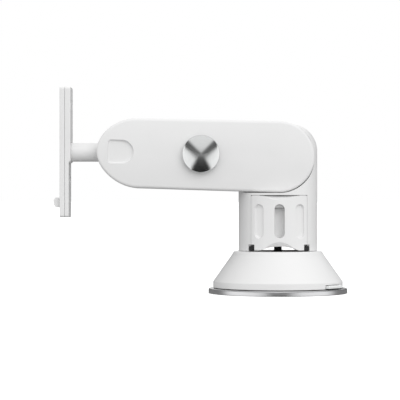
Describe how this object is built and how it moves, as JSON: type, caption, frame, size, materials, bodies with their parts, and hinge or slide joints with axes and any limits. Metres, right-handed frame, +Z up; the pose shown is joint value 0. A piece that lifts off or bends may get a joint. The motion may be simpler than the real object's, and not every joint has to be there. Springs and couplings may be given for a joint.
{
  "type": "camera mount",
  "caption": "Suction-cup arm mount for a baby monitor camera: cone base with flip-up lever, panning column, clamped arm on a knob, and a ball-jointed holder plate.",
  "frame": {"origin": "centre of the round base's flat underside, on the surface that it is stuck to", "axes": "+Z up the column, -X along the arm towards the holder plate, -Y the side with the lever and the clamp knob"},
  "size_m": [0.1462, 0.069, 0.1026],
  "materials": {
    "white_plastic": "satin moulded white plastic",
    "silver_metal": "silver, turned",
    "polished_metal": "polished, spun face",
    "steel": "zinc-plated steel",
    "black_plastic": "black acetal and rubber",
    "soft_plastic": "soft milky plastic",
    "brass": "turned brass"
  },
  "bodies": {
    "base": {"base_disc": "silver_metal", "adhesive_pad": "soft_plastic", "skirt": "white_plastic", "suction_pad": "soft_plastic"},
    "column": {"turntable": "white_plastic", "swivel_retainer": "black_plastic", "base_screw_1": "steel", "base_screw_2": "steel", "base_screw_3": "steel", "base_screw_4": "steel", "column_front_shell": "white_plastic", "column_rear_shell": "white_plastic", "column_screw_left": "steel", "column_screw_right": "steel", "rod_bush": "black_plastic", "lever_stop_left": "black_plastic", "lever_stop_right": "black_plastic", "pivot_bush": "black_plastic", "friction_washer_front": "steel", "friction_washer_rear": "steel"},
    "lever": {"lever": "white_plastic", "lever_pin": "steel"},
    "stem": {"pull_rod": "steel", "pad_boss": "black_plastic", "lift_yoke": "white_plastic", "rod_nut": "steel", "return_spring": "steel"},
    "arm": {"arm_front_shell": "white_plastic", "arm_rear_shell": "white_plastic", "pivot_screw": "steel", "pivot_washer": "steel", "clamp_bolt": "steel", "clamp_washer": "steel", "clamp_spring": "steel", "arm_dowel_lower": "steel", "arm_dowel_upper": "steel"},
    "knob": {"clamp_knob": "polished_metal", "knob_insert": "brass"},
    "ball_pads": {"socket_pad_front": "soft_plastic", "socket_pad_rear": "soft_plastic"},
    "ball_stud": {"ball_stud": "white_plastic"},
    "holder": {"holder_back_plate": "white_plastic", "holder_front_plate": "white_plastic", "plate_screw_1": "steel", "plate_screw_2": "steel", "plate_screw_3": "steel", "plate_screw_4": "steel", "catch_spring": "steel"},
    "catch": {"catch": "white_plastic"}
  },
  "joints": [
    {"name": "pan", "type": "hinge", "parent": "base", "child": "column", "pos_m": [0, 0, 0.0195], "axis": [0, 0, 1], "continuous": true},
    {"name": "lever_flip", "type": "hinge", "parent": "column", "child": "lever", "pos_m": [0, -0.0156, 0.0444], "axis": [-1, 0, 0], "range_deg": [0, 75]},
    {"name": "stem_pull", "type": "slide", "parent": "column", "child": "stem", "axis": [0, 0, -1], "range_m": [0, 0.0029], "deforming": ["return_spring"]},
    {"name": "arm_pitch", "type": "hinge", "parent": "column", "child": "arm", "pos_m": [0, 0, 0.0677], "axis": [0, 1, 0], "range_deg": [-1.5, 45]},
    {"name": "knob_turn", "type": "hinge", "parent": "arm", "child": "knob", "pos_m": [-0.03838, 0, 0.069], "axis": [0, 1, 0], "range_deg": [-30, 540]},
    {"name": "ball_tilt", "type": "hinge", "parent": "arm", "child": "ball_pads", "pos_m": [-0.07996, 0, 0.07019], "axis": [0, 1, 0], "range_deg": [-40, 40]},
    {"name": "ball_yaw", "type": "hinge", "parent": "ball_pads", "child": "ball_stud", "pos_m": [-0.07996, 0, 0.07019], "axis": [0, 0, 1], "range_deg": [-6, 6]},
    {"name": "plate_roll", "type": "hinge", "parent": "ball_stud", "child": "holder", "pos_m": [-0.07996, 0, 0.07019], "axis": [1, 0, 0], "continuous": true},
    {"name": "catch_press", "type": "slide", "parent": "holder", "child": "catch", "axis": [1, 0, 0], "range_m": [0, 0.002], "stiffness_N_per_m": 600, "springref_m": -0.001, "deforming": ["catch_spring"]}
  ],
  "couplings": [
    {"joint": "lever_flip", "follows": "stem_pull", "rad_per_m": 451.37}
  ]
}
